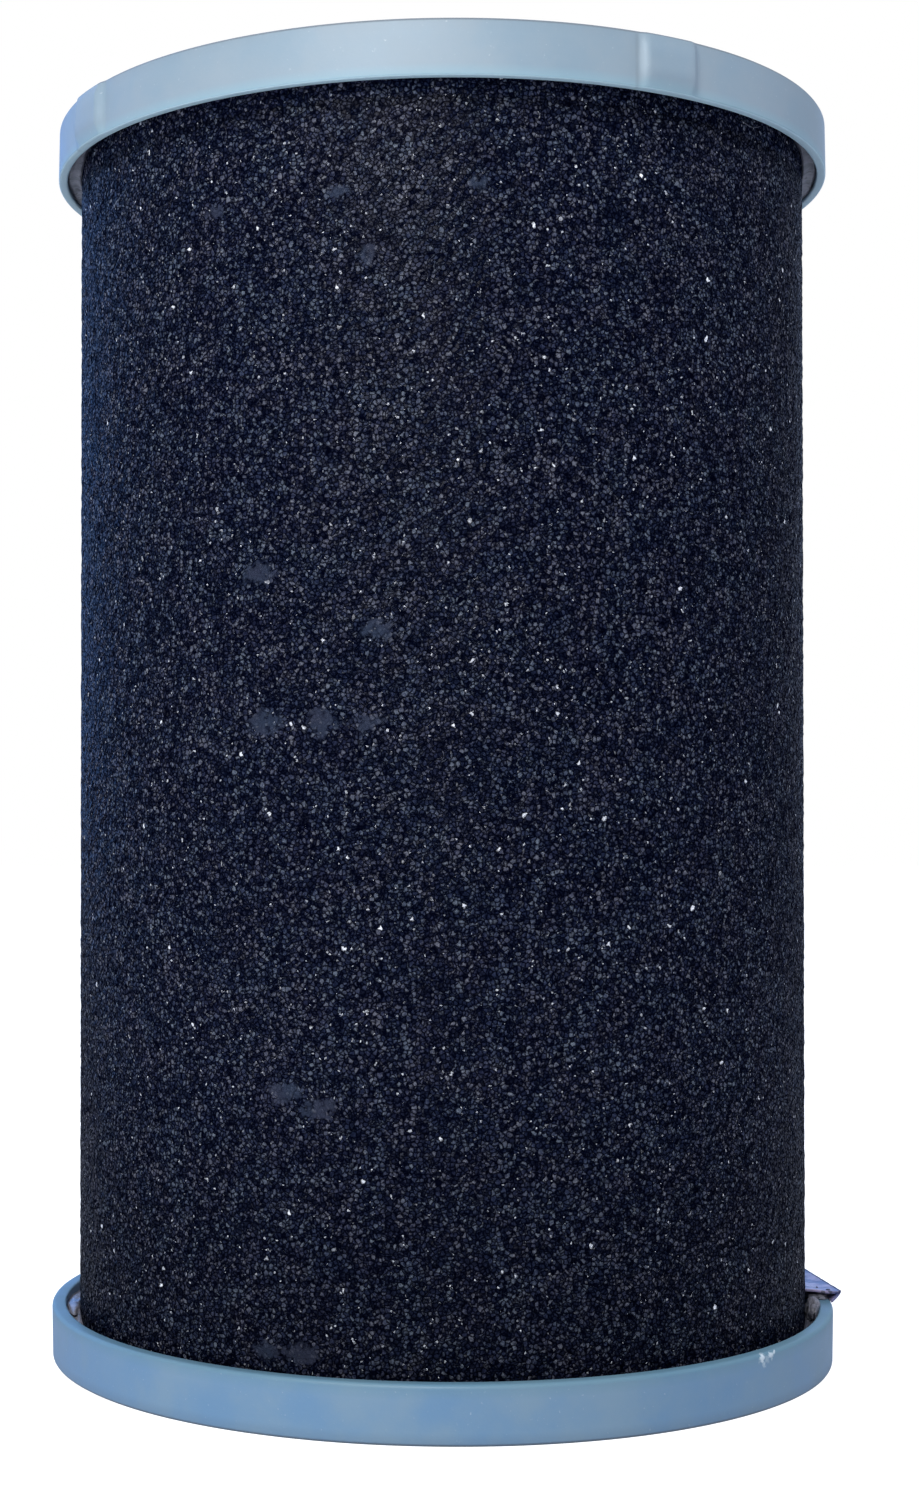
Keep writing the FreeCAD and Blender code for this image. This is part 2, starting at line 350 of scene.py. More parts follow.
def makeMouldedGroup(values):
    # moulded plastic: slow mottling, a fine grain and pale specks of dust
    tree, source, target = newGroup(
        "mouldedPlastic",
        [("Vector", "NodeSocketVector", None), ("Colour", "NodeSocketColor", (0.5, 0.5, 0.5, 1)),
         ("Shadow", "NodeSocketColor", (0.4, 0.4, 0.4, 1)), ("Roughness", "NodeSocketFloat", 0.4)],
        [("Colour", "NodeSocketColor"), ("Roughness", "NodeSocketFloat"), ("Height", "NodeSocketFloat")],
    )
    slow = addNoise(tree, source.outputs["Vector"], values["mottleScale"], 4, 0.6)
    fine = addNoise(tree, source.outputs["Vector"], values["grainScale"], 3)
    mottle = ramp(tree, slow.outputs["Fac"], 0.3, 0.7)
    colour = mixColour(tree, mottle, source.outputs["Shadow"], source.outputs["Colour"])
    specks = ramp(tree, fine.outputs["Fac"], 0.68, 0.8, 0.0, values["speckCover"])
    colour = mixColour(tree, specks, colour, values["speckColour"])
    rough = calc(tree, "MULTIPLY_ADD", mottle, values["uneven"], source.outputs["Roughness"])
    waves = product(tree, slow.outputs["Fac"], values["mottleHeight"])
    link(tree, colour, target.inputs["Colour"])
    link(tree, rough, target.inputs["Roughness"])
    link(tree, calc(tree, "ADD", fine.outputs["Fac"], waves), target.inputs["Height"])
    return tree


granuleGroup = makeGranuleGroup(granulePattern)
mouldedGroup = makeMouldedGroup(mouldedPattern)


def newMaterial(name):
    material = bpy.data.materials.new(name)
    material.use_nodes = True
    tree = material.node_tree
    shader = tree.nodes["Principled BSDF"]
    coords = addNode(tree, "ShaderNodeTexCoord")
    return material, tree, shader, coords.outputs["Object"]


def useGroup(tree, group, **values):
    node = addNode(tree, "ShaderNodeGroup", node_tree=group)
    for label, value in values.items():
        socket = node.inputs[label]
        if isinstance(value, (int, float, tuple)):
            socket.default_value = value
        else:
            link(tree, value, socket)
    return node


def addBump(tree, shader, height, distance):
    bump = addNode(tree, "ShaderNodeBump")
    bump.inputs["Strength"].default_value = 1.0
    bump.inputs["Distance"].default_value = distance
    link(tree, height, bump.inputs["Height"])
    link(tree, bump.outputs[0], shader.inputs["Normal"])


print("shader groups made")

# The carbon block: a gritty skin of granules round the block, its ends and its bore
carbonSkin = {
    "columns": 430,
    "rows": 214,
    "boreRows": 8,
    "endRings": 3,
    "relief": 0.09 * mm,
    "spread": 0.55,
    "sideways": 0.20 * mm,
    "seed": 11,
    "granule": 0.49 * mm,
    "jagged": 1.5,
    "fineGranule": 0.45,
    "fineJagged": 1.2,
    "fineHeight": 0.22,
    "toneRange": (-1.0, 1.6),
    "depth": 0.26 * mm,
    "darkHue": (0.0124, 0.0176, 0.0490),
    "paleHue": (0.0325, 0.0350, 0.0430),
    # painted shade: the gaps between granules are painted nearly black
    "gapShadeColour": (0.0001, 0.0005, 0.0040),
    "gapShadeCover": 0.98,
    "coldCast": (0.92, 1.02, 1.03),
    "warmCast": (1.04, 0.99, 0.97),
    "castScale": 260,
    # painted shade at the foot and a little below the rim, painted light close under the rim
    "footShade": 0.68,
    "footHeight": 45 * mm,
    "endBand": 3.6 * mm,
    "lipBand": (0.0, 0.4),
    "lipShade": 0.82,
    "underRimLightBand": (0.62, 0.86),
    "underRimLight": 2.4,
    "contrast": 2.5,
    "fineContrast": 1.1,
    "limit": 0.16,
    "smearColour": (0.0240, 0.0300, 0.0520),
    "smearCover": 0.8,
    "smearEdge": 1.2,
    "smearEdgeScale": 1300,
    "smearFlat": 0.85,
    "smearFade": (0.45, 1.4),
    # painted highlights: a few granules painted pale as glints
    "glint": (0.80, 0.82, 0.88),
    "glintSpecks": (0.968, 0.988),
    "glintSpeckGroups": (0.72, 0.96),
    "glintSpeckStrength": 0.6,
    "wholeGlints": (0.9967, 0.9992),
    "roughness": 0.55,
    "uneven": 0.3,
    "shine": 0.0,
    "sealWeight": 0.44,
    "sealGap": 0.95,
    "sealIndex": 1.2,
    "sealRoughness": 0.30,
}

# where the skin is smeared smooth: turn from the front, height, half width and half height
smears = [
    (-27.3, 79.9, 2.4, 1.6),
    (-18.6, 79.8, 1.9, 1.7),
    (-12.1, 79.8, 2.2, 0.8),
    (-10.7, 90.4, 2.0, 1.2),
    (-28.1, 97.0, 2.5, 1.3),
    (-24.6, 37.9, 2.4, 1.2),
    (-19.0, 36.3, 2.4, 1.2),
    (-21.5, 8.6, 2.4, 1.3),
    (-26.8, 8.7, 1.6, 1.1),
    (-16.3, 139.8, 1.7, 0.7),
    (-11.9, 132.7, 1.1, 1.2),
    (-35.9, 139.2, 1.5, 0.8),
    (3.0, 140.2, 1.3, 0.7),
    (120, 70.0, 3.0, 1.6),
    (128, 68.5, 2.4, 1.2),
    (165, 110.0, 2.4, 1.4),
    (-110, 45.0, 2.8, 1.3),
    (-150, 92.0, 2.4, 1.5),
]


def smearMask(places, fade):
    turn = np.degrees(np.arctan2(places[:, 0], -places[:, 1]))
    mask = np.zeros(len(places))
    for angle, height, halfWidth, halfHeight in smears:
        across = np.radians((turn - angle + 180) % 360 - 180) * fit["blockRadius"] / (halfWidth * mm)
        up = (places[:, 2] - height * mm) / (halfHeight * mm)
        mask = np.maximum(mask, 1 - smoothStep(*fade, np.hypot(across, up)))
    return mask


def makeCarbonMaterial(values):
    material, tree, shader, place = newMaterial("bondedCarbon")
    size = values["granule"]
    coarse = useGroup(tree, granuleGroup, Vector=place, Size=size, Jagged=values["jagged"])
    size *= values["fineGranule"]
    small = useGroup(tree, granuleGroup, Vector=place, Size=size, Jagged=values["fineJagged"])
    ragged = addNoise(tree, place, values["smearEdgeScale"], 2)
    torn = calc(tree, "MULTIPLY_ADD", ragged.outputs["Fac"], 2 * values["smearEdge"], -values["smearEdge"])
    smear = readMask(tree, "smear")
    smooth = ramp(tree, calc(tree, "ADD", smear, torn), 0.25, 0.95)
    smooth = product(tree, smooth, ramp(tree, smear, 0.0, 0.25))
    keep = calc(tree, "SUBTRACT", 1.0, product(tree, smooth, values["smearFlat"]))

    # each granule has its own shade, spread as widely as crushed carbon's
    tone = product(tree, calc(tree, "SUBTRACT", coarse.outputs["Shade"], 0.5), values["contrast"])
    fine = product(tree, calc(tree, "SUBTRACT", small.outputs["Shade"], 0.5), values["fineContrast"])
    tone = calc(tree, "ADD", tone, fine)
    above = calc(tree, "MAXIMUM", tone, 0.0)
    tone = calc(tree, "SUBTRACT", tone, product(tree, above, above, values["limit"]))
    hue = mixColour(tree, ramp(tree, tone, *values["toneRange"]), values["darkHue"], values["paleHue"])
    colour = scaledBy(tree, hue, calc(tree, "POWER", math.e, tone))
    # painted shade: the gaps between granules are painted nearly black
    gap = product(tree, coarse.outputs["Gap"], values["gapShadeCover"])
    colour = mixColour(tree, gap, colour, values["gapShadeColour"])
    smeared = product(tree, smooth, values["smearCover"])
    colour = mixColour(tree, smeared, colour, values["smearColour"])
    drift = ramp(tree, addNoise(tree, place, values["castScale"], 1).outputs["Fac"], 0.35, 0.65)
    cast = mixColour(tree, drift, values["coldCast"], values["warmCast"])
    colour = mixColour(tree, 1.0, colour, cast, "MULTIPLY")

    # painted shade: the foot and the top few millimetres are darker; painted light: the strip close under
    # the rim, where the rim casts its shadow, is paler
    level = addNode(tree, "ShaderNodeSeparateXYZ")
    link(tree, place, level.inputs[0])
    foot = ramp(tree, level.outputs["Z"], 0.0, values["footHeight"], values["footShade"], 1.0)
    end = readMask(tree, "end")
    top = ramp(tree, end, *values["lipBand"], 1.0, values["lipShade"])
    underRimLift = ramp(tree, end, *values["underRimLightBand"], 1.0, values["underRimLight"])
    colour = scaledBy(tree, colour, product(tree, top, underRimLift, foot))

    # painted highlights: a few granules are painted pale as glints, in place of light caught by their
    # faces
    glintSpecks = product(
        tree, ramp(tree, small.outputs["Spare"], *values["glintSpecks"]),
        ramp(tree, coarse.outputs["Spare"], *values["glintSpeckGroups"]), values["glintSpeckStrength"],
    )
    whole = ramp(tree, coarse.outputs["Spare"], *values["wholeGlints"])
    whole = product(tree, whole, calc(tree, "SUBTRACT", 1.0, coarse.outputs["Gap"]))
    paintedGlint = product(tree, calc(tree, "MAXIMUM", glintSpecks, whole), keep)
    link(tree, mixColour(tree, paintedGlint, colour, values["glint"]), shader.inputs["Base Color"])
    rough = calc(tree, "MULTIPLY_ADD", coarse.outputs["Spare"], values["uneven"], values["roughness"])
    link(tree, rough, shader.inputs["Roughness"])
    shader.inputs["Specular IOR Level"].default_value = values["shine"]

    # a thin seal over the granules mirrors the room, and less of it in the gaps
    weight = values["sealWeight"]
    seal = calc(tree, "MULTIPLY_ADD", coarse.outputs["Gap"], -values["sealGap"] * weight, weight)
    link(tree, seal, shader.inputs["Coat Weight"])
    shader.inputs["Coat IOR"].default_value = values["sealIndex"]
    shader.inputs["Coat Roughness"].default_value = values["sealRoughness"]
    height = product(tree, coarse.outputs["Height"], keep)
    height = calc(tree, "ADD", height, product(tree, small.outputs["Height"], values["fineHeight"]))
    addBump(tree, shader, height, values["depth"])
    return material


def makeCarbonSkin(values):
    outer, inner = fit["blockRadius"] - values["relief"], fit["boreRadius"]
    low, high = blockLow.z, blockHigh.z
    corners = [(inner, low), (outer, low), (outer, high), (inner, high), (inner, low)]
    parts = [values["endRings"], values["rows"], values["endRings"], values["boreRows"]]
    profile = []
    for start, end, count in zip(corners, corners[1:], parts):
        profile += between(start, end, count)
    piece = finishPiece("carbonSkin", turnedForm(profile, values["columns"]), smooth=False)
    places = vertexArray(piece)
    radius, height = np.hypot(places[:, 0], places[:, 1]), places[:, 2]
    skin = (radius > outer - 0.01 * mm) & (height > low + 0.05 * mm) & (height < high - 0.05 * mm)
    mask = smearMask(places, values["smearFade"]) * skin
    draw = np.random.default_rng(values["seed"])
    push = np.clip(draw.normal(0, values["spread"], len(places)), -1, 1) * values["relief"]
    push *= 1 - values["smearCover"] * mask
    slide = draw.uniform(-1, 1, (len(places), 2)) * values["sideways"]
    outward = places[:, :2] / radius[:, None]
    sideways = np.stack([-outward[:, 1], outward[:, 0]], axis=1)
    places[skin, :2] += outward[skin] * push[skin, None] + sideways[skin] * slide[skin, :1]
    places[skin, 2] += slide[skin, 1]
    storePlaces(piece, places)
    addMask(piece, "smear", mask)
    # the end mask places the painted shade and the painted light just under the top rim
    underCap = fit["topFace"] - fit["topRimHeight"] - places[:, 2]
    addMask(piece, "end", 1 - smoothStep(0, values["endBand"], underCap))
    piece.data.materials.append(makeCarbonMaterial(values))
    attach(piece, "root")
    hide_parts("carbon_block")


makeCarbonSkin(carbonSkin)
print("carbon skin made")

# The two moulded caps
capFinish = {
    "roughness": 0.42,
    "shine": 0.35,
    "depth": 0.012 * mm,
    "paintedLipCover": 0.7,
    "edgeShadeCover": 0.8,
}
topCapPlastic = {
    **capFinish,
    "colour": (0.207, 0.262, 0.306),
    "shadow": (0.178, 0.246, 0.302),
    # painted shade on the edges and lines, painted light on the lip and its underside
    "edgeShadeColour": (0.110, 0.130, 0.150),
    "paintedLipColour": (0.195, 0.310, 0.370),
    "underLightColour": (0.440, 0.600, 0.660),
}
baseCapPlastic = {
    **capFinish,
    "colour": (0.150, 0.236, 0.322),
    "shadow": (0.112, 0.210, 0.335),
    # painted shade on the bottom edge and on the band below the lip
    "edgeShadeColour": (0.080, 0.110, 0.150),
    "paintedLipColour": (0.086, 0.176, 0.225),
    "scrapeColour": (0.46, 0.54, 0.60),
    "scrapeHeight": 3.0,
    "scrapeScale": 2400,
    "scrapeRagged": 1.1 * mm,
    "scrapeFade": (0.35 * mm, 0.75 * mm),
}

# pale scrapes on the base cap's rim: turn from the front, height, radius and strength
scrapes = [
    (45.5, 6.3, 0.50, 1.0),
    (47.5, 6.35, 0.38, 0.9),
    (48.6, 6.7, 0.20, 1.0),
    (46.0, 5.55, 0.32, 0.55),
    (46.6, 6.0, 0.40, 0.35),
]


def turned(angle, radius, height):
    # a place from its turn from the front, its radius and its height
    return Vector((radius * math.sin(angle), -radius * math.cos(angle), height))


def scrapeMask(tree, place, values):
    # ragged spots round the listed places
    rough = addNoise(tree, place, values["scrapeScale"], 2)
    near, far = values["scrapeFade"]
    mask = None
    for turn, height, radius, strength in scrapes:
        spot = turned(math.radians(turn), fit["baseRadius"], height * mm)
        away = vectorMath(tree, "DISTANCE", place, spot)
        away = calc(tree, "MULTIPLY_ADD", rough.outputs["Fac"], values["scrapeRagged"], away)
        spot = ramp(tree, away, radius * mm + near, radius * mm + far, strength, 0.0)
        mask = spot if mask is None else calc(tree, "MAXIMUM", mask, spot)
    return mask


def makePlastic(name, values):
    material, tree, shader, place = newMaterial(name)
    group = useGroup(
        tree, mouldedGroup, Vector=place, Colour=(*values["colour"], 1),
        Shadow=(*values["shadow"], 1), Roughness=values["roughness"],
    )
    # the lip band: painted light on the top cap, painted shade on the base cap; the top cap's underside
    # gets more painted light
    lip = readMask(tree, "lip")
    band = product(tree, calc(tree, "MINIMUM", lip, 1.0), values["paintedLipCover"])
    colour = mixColour(tree, band, group.outputs["Colour"], values["paintedLipColour"])
    if "underLightColour" in values:
        colour = mixColour(tree, ramp(tree, lip, 1.0, 2.0), colour, values["underLightColour"])
    # painted shade along the edges and lines that the edge mask marks
    edge = product(tree, readMask(tree, "edge"), values["edgeShadeCover"])
    colour = mixColour(tree, edge, colour, values["edgeShadeColour"])
    height = group.outputs["Height"]
    if "scrapeColour" in values:
        worn = scrapeMask(tree, place, values)
        colour = mixColour(tree, worn, colour, values["scrapeColour"])
        height = calc(tree, "ADD", height, product(tree, worn, values["scrapeHeight"]))
    link(tree, colour, shader.inputs["Base Color"])
    link(tree, group.outputs["Roughness"], shader.inputs["Roughness"])
    shader.inputs["Specular IOR Level"].default_value = values["shine"]
    addBump(tree, shader, height, values["depth"])
    return material


def unevenRim(piece, values):
    # a moulded rim is never perfectly round: a slow wave of a few hundredths of a millimetre
    places = vertexArray(piece)
    radius = np.hypot(places[:, 0], places[:, 1])
    rim = smoothStep(fit["spigotRadius"] * 1.5, fit["rimInner"], radius)
    push = wave(places, values["unevenPitch"], values["seed"]) * values["uneven"] * rim
    places[:, :2] *= (1 + push / np.maximum(radius, mm))[:, None]
    storePlaces(piece, places)


topCapShell = {
    "steps": 800,
    "faceRound": 0.4 * mm,
    "lipRound": 0.3 * mm,
    "softRound": 0.22 * mm,
    "collarLength": 8.0 * mm,
    "seatRadius": 25.0 * mm,
    "seatWall": 1.6 * mm,
    "seatHeight": 1.4 * mm,
    "lugCount": 4,
    "firstLug": math.radians(29.3),
    "lugHalfWidth": 3.15 * mm,
    "lugSlope": 1.0 * mm,
    "lugStand": 0.8 * mm,
    "lugLine": 0.8 * mm,
    "lugLineShade": 0.3,
    "crease": 0.15 * mm,
    "creaseShade": 0.4,
    "lugLipFade": 0.75,
    "lugFaceFade": 0.6,
    "row": 1.2 * mm,
    "uneven": 0.05 * mm,
    "unevenPitch": 14 * mm,
    "seed": 2,
}


def makeTopCap(values):
    face, lip = fit["topFace"], fit["topFace"] - fit["topRimHeight"]
    inside = face - fit["capFloor"]
    faceRadius = fit["topRadius"] - fit["topRimHeight"] * math.tan(fit["rimDraft"])
    seatOuter = values["seatRadius"] + values["seatWall"]
    seatTop = face + values["seatHeight"]
    collarFoot = inside - values["collarLength"]
    profile = [
        (fit["topRadius"], lip),
        (faceRadius, face),
        (seatOuter, face),
        (seatOuter, seatTop),
        (values["seatRadius"], seatTop),
        (values["seatRadius"], face),
        (fit["spigotRadius"], face),
        (fit["spigotRadius"], seatTop),
        (fit["outletRadius"], seatTop),
        (fit["outletRadius"], collarFoot),
        (fit["spigotRadius"], collarFoot),
        (fit["spigotRadius"], inside),
        (fit["rimInner"], inside),
        (fit["rimInner"], lip),
    ]
    edge = values["lipRound"]
    radii = {number: edge for number in (3, 4, 7, 8, 10, 13)}
    radii.update({0: values["softRound"], 1: values["faceRound"]})
    form = turnedForm(divided(rounded(profile, radii), values["row"]), values["steps"])
    piece = finishPiece("topCapShell", form)
    places = vertexArray(piece)
    radius, height = np.hypot(places[:, 0], places[:, 1]), places[:, 2]
    turn = np.arctan2(places[:, 1], places[:, 0])

    # the lugs are pushed out of the rim, and fade toward the lip and the face
    pitch = math.tau / values["lugCount"]
    around = ((turn - values["firstLug"] + pitch / 2) % pitch - pitch / 2) * fit["topRadius"]
    off = np.abs(around)
    side = 1 - np.clip((off - values["lugHalfWidth"]) / values["lugSlope"], 0, 1)
    wall = smoothStep(faceRadius - values["faceRound"] * 0.7, faceRadius - 0.05 * mm, radius)
    wall *= height < face - values["faceRound"] * 0.25
    wall *= 1 - values["lugLipFade"] * (1 - smoothStep(lip + 0.3 * mm, lip + 0.9 * mm, height))
    wall *= 1 - values["lugFaceFade"] * smoothStep(face - 1.0 * mm, face - 0.1 * mm, height)
    push = values["lugStand"] * side * wall
    places[:, :2] *= (1 + push / np.maximum(radius, mm))[:, None]
    storePlaces(piece, places)

    # masks for the painted shade lines along the face's edge, beside the lugs and under them, and for the
    # painted light on the lip, which is 1 at the rim's foot and 2 under it
    outside = radius > fit["rimInner"] + 0.5 * mm
    foot = values["lugHalfWidth"] + values["lugSlope"]
    crease = nearLine(around + foot + values["crease"]) * outside * values["creaseShade"]
    under = nearLine(height - lip - values["lugLine"]) * (off < foot) * outside * values["lugLineShade"]
    band = smoothStep(face - 0.45 * mm, face - 0.2 * mm, height)
    band *= smoothStep(faceRadius - 0.6 * mm, faceRadius - 0.3 * mm, radius)
    addMask(piece, "edge", np.maximum(band, np.maximum(crease, under)))
    underside = 1 - smoothStep(lip + 0.02 * mm, lip + 0.16 * mm, height)
    addMask(piece, "lip", 1 - smoothStep(lip + 0.3 * mm, lip + 1.3 * mm, height) + underside)
    unevenRim(piece, values)
    piece.data.materials.append(makePlastic("topCapPlastic", topCapPlastic))
    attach(piece, "root")
    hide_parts("top_cap")


baseCapShell = {
    "steps": 720,
    "faceRound": 0.4 * mm,
    "lipRound": 0.3 * mm,
    "softRound": 0.5 * mm,
    "bossHeight": 5.0 * mm,
    "row": 1.2 * mm,
    "uneven": 0.06 * mm,
    "unevenPitch": 16 * mm,
    "seed": 5,
}


def makeBaseCap(values):
    lip = fit["baseRimHeight"]
    inside = fit["capFloor"]
    faceRadius = fit["baseRadius"] - lip * math.tan(fit["rimDraft"])
    bossTop = inside + values["bossHeight"]
    profile = [
        (0, 0),
        (faceRadius, 0),
        (fit["baseRadius"], lip),
        (fit["rimInner"], lip),
        (fit["rimInner"], inside),
        (fit["spigotRadius"], inside),
        (fit["spigotRadius"], bossTop),
        (fit["bossHollow"], bossTop),
        (fit["bossHollow"], inside),
        (0, inside),
    ]
    edge = values["lipRound"]
    radii = {1: values["faceRound"], 2: values["softRound"], 3: edge, 6: edge, 7: edge}
    points = divided(rounded(profile, radii), values["row"], closed=False)
    form = turnedForm(points, values["steps"], closed=False)
    piece = finishPiece("baseCapShell", form)
    unevenRim(piece, values)
    places = vertexArray(piece)
    outside = np.hypot(places[:, 0], places[:, 1]) > fit["rimInner"]
    # painted shade along the bottom edge, and on the band just below the lip
    addMask(piece, "edge", (1 - smoothStep(0.2 * mm, 0.5 * mm, places[:, 2])) * outside)
    addMask(piece, "lip", smoothStep(lip - 0.9 * mm, lip - 0.2 * mm, places[:, 2]) * outside)
    piece.data.materials.append(makePlastic("baseCapPlastic", baseCapPlastic))
    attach(piece, "root")
    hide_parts("bottom_cap")


makeTopCap(topCapShell)
makeBaseCap(baseCapShell)
print("caps made")

# The two rings of hot melt, their lumps, and the flash that was squeezed out at the right
glueBead = {
    "steps": 420,
    "layer": 0.6 * mm,
    "climb": 3.6 * mm,
    "sag": 0.4 * mm,
    "innerRadius": 19.9 * mm,
    "lumps": 0.40 * mm,
    "lumpPitch": 6 * mm,
    "settle": 0.10 * mm,
    "row": 0.6 * mm,
    "sink": 1.5 * mm,
    "sunkTurn": 76,
    "sunkSpread": 5,
    "sunkShade": 0.8,
    "colour": (0.185, 0.182, 0.215),
    "deep": (0.095, 0.100, 0.122),
}

# each lump: turn from the front in degrees, radius, height, then half sizes round, out and up
topLumps = [
    (150.0, 47.8, 152.2, 3.0, 0.7, 0.8),
    (-140.0, 47.8, 152.2, 3.6, 0.7, 0.8),
]
baseLumps = [
    (78.5, 48.0, 6.7, 1.8, 0.95, 1.5),
    (86.5, 48.9, 7.0, 2.4, 1.5, 0.75),
    (-84.0, 47.8, 5.9, 4.6, 0.85, 0.7),
    (160.0, 47.9, 6.2, 2.4, 0.8, 0.8),
    (-130.0, 47.9, 6.2, 2.8, 0.8, 0.7),
]


# What the ring beads, the flash and the string have in common
meltFinish = {
    "cloudScale": 420,
    "grit": 0.5 * mm,
    "gritColour": (0.010, 0.012, 0.020),
    "gritCover": 0.8,
    # painted shade where the rim mask marks
    "glueShadeColour": (0.020, 0.022, 0.045),
    "glueShadeCover": 0.85,
    "roughness": 0.34,
    "shine": 0.4,
    "milky": 0.3,
    "scatter": (1.0, 1.0, 1.1),
    "scatterDepth": 0.6 * mm,
    "depth": 0.22 * mm,
}


def makeGlueMaterial(name, values):
    finish = meltFinish
    material, tree, shader, place = newMaterial(name)
    cloud = addNoise(tree, place, finish["cloudScale"], 4).outputs["Fac"]
    colour = mixColour(tree, ramp(tree, cloud, 0.35, 0.65), values["deep"], values["colour"])
    grit = useGroup(tree, granuleGroup, Vector=place, Size=finish["grit"], Jagged=1.0)
    dirt = ramp(tree, grit.outputs["Spare"], 0.93, 0.96, 0.0, finish["gritCover"])
    colour = mixColour(tree, dirt, colour, finish["gritColour"])
    # painted shade: the bead's sunk front down in the gap, and the flap's torn edge and specks
    rim = product(tree, readMask(tree, "rim"), finish["glueShadeCover"])
    colour = mixColour(tree, rim, colour, finish["glueShadeColour"])
    link(tree, colour, shader.inputs["Base Color"])
    settings = {
        "Roughness": finish["roughness"],
        "Specular IOR Level": finish["shine"],
        "Subsurface Weight": finish["milky"],
        "Subsurface Radius": finish["scatter"],
        "Subsurface Scale": finish["scatterDepth"],
    }
    for label, value in settings.items():
        shader.inputs[label].default_value = value
    addBump(tree, shader, cloud, finish["depth"])
    return material


def addLump(form, turn, radius, height, around, out, up, uneven=0.22):
    made = bmesh.ops.create_icosphere(form, subdivisions=4, radius=1.0)["verts"]
    angle = math.radians(turn)
    for vert in made:
        x, y, z = vert.co
        lumpy = 1 + uneven * noise.noise(Vector((x * 1.4 + turn, y * 1.4, z * 1.4 + radius)))
        bend = angle + x * around * lumpy / radius
        vert.co = turned(bend, (radius + y * out * lumpy) * mm, (height + z * up * lumpy) * mm)


def makeGlueBead(name, node, floorHeight, direction, material, lumps, seed):
    values = glueBead
    layer = floorHeight + direction * values["layer"]
    crest = layer + direction * values["climb"]
    middle = (fit["blockRadius"] + fit["rimInner"]) / 2
    profile = [
        (values["innerRadius"], floorHeight),
        (fit["rimInner"], floorHeight),
        (fit["rimInner"], crest - direction * values["sag"] / 2),
        (middle, crest - direction * values["sag"]),
        (fit["blockRadius"], crest),
        (fit["blockRadius"], layer),
        (values["innerRadius"], layer),
    ]
    form = turnedForm(divided(profile, values["row"]), values["steps"])
    ringCount = len(form.verts)
    for lump in lumps:
        addLump(form, *lump)
    bmesh.ops.recalc_face_normals(form, faces=form.faces[:])
    piece = finishPiece(name, form)
    places = vertexArray(piece)
    ring = np.arange(len(places)) < ringCount
    radius = np.hypot(places[:, 0], places[:, 1])
    free = ring & (radius > fit["blockRadius"] - 0.05 * mm)
    free &= direction * (places[:, 2] - layer) > values["climb"] / 2
    turn = np.abs(np.degrees(np.arctan2(places[:, 0], -places[:, 1])))
    spread = values["sunkSpread"]
    sunk = ring * (1 - smoothStep(values["sunkTurn"] - spread, values["sunkTurn"] + spread, turn))
    lumpy = wave(places[free], values["lumpPitch"], seed) * values["lumps"] - values["settle"]
    places[free, 2] += direction * lumpy
    places[free, 2] -= direction * sunk[free] * values["sink"]
    storePlaces(piece, places)
    # painted shade on the sunk front of the bead, down in the gap
    addMask(piece, "rim", sunk * values["sunkShade"])
    piece.data.materials.append(material)
    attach(piece, "root")
    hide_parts(node)


glueMaterial = makeGlueMaterial("hotMelt", glueBead)
makeGlueBead("topGlueBead", "top_glue", topGlueHigh.z, -1, glueMaterial, topLumps, 3)
makeGlueBead("baseGlueBead", "bottom_glue", baseGlueLow.z, 1, glueMaterial, baseLumps, 4)

# The flash: a thin torn flap that leans over the bottom rim
glueFlap = {
    "start": 84.0,
    "end": 106.0,
    "slant": 97.0,
    "tipRadius": 51.85 * mm,
    "rootRadius": 46.8 * mm,
    "rootHeight": 7.7 * mm,
    "rootLift": 0.7 * mm,
    "edgeHeight": 8.05 * mm,
    "foldHeight": 6.5 * mm,
    "fold": 0.7,
    "thickness": 0.32 * mm,
    "rootCurve": 2.2,
    "liftCurve": 1.4,
    "foldCurve": 1.6,
    "endTuck": 0.5 * mm,
    "ragged": 0.10 * mm,
    "ripple": 0.16 * mm,
    "steps": 96,
    "rows": 30,
    "colour": (0.360, 0.310, 0.450),
    "deep": (0.060, 0.075, 0.200),
    "brim": 0.085 * mm,
    "brimInset": Vector((-0.04 * mm, 0, -0.03 * mm)),
    "brimSides": 8,
    "specks": [(85.0, 50.25, 7.98, 0.34, 0.30, 0.13), (86.6, 49.0, 8.0, 0.20, 0.16, 0.10)],
}


def flapPlace(values, share, row):
    # from the block out to the straight torn edge, then folded down against the rim
    angle = math.radians(values["start"] + (values["end"] - values["start"]) * share)
    slant = math.radians(values["slant"])
    start = math.radians(values["start"])
    edge = values["tipRadius"] * math.cos(slant - start) / math.cos(slant - angle)
    edge -= values["endTuck"] * smoothStep(0.75, 1.0, share) * share
    rough = values["ragged"] * noise.noise(Vector((share * 14, row * 3, 0.5)))
    if row <= values["fold"]:
        out = row / values["fold"]
        radius = values["rootRadius"] + (edge - values["rootRadius"]) * out
        rise = values["edgeHeight"] - values["rootHeight"]
        height = values["rootHeight"] + rise * out ** values["rootCurve"]
        lift = values["rootLift"] * (1 - smoothStep(0.0, 0.5, share))
        height += lift * (1 - out) ** values["liftCurve"]
        height += values["ripple"] * noise.noise(Vector((share * 9, out * 4, 2.0))) * (1 - out)
    else:
        down = (row - values["fold"]) / (1 - values["fold"])
        radius = edge - (edge - fit["baseRadius"] - 0.05 * mm) * down ** values["foldCurve"]
        height = values["edgeHeight"] - (values["edgeHeight"] - values["foldHeight"]) * down
    return turned(angle, radius - abs(rough), height - 0.02 * mm + rough * 0.2)


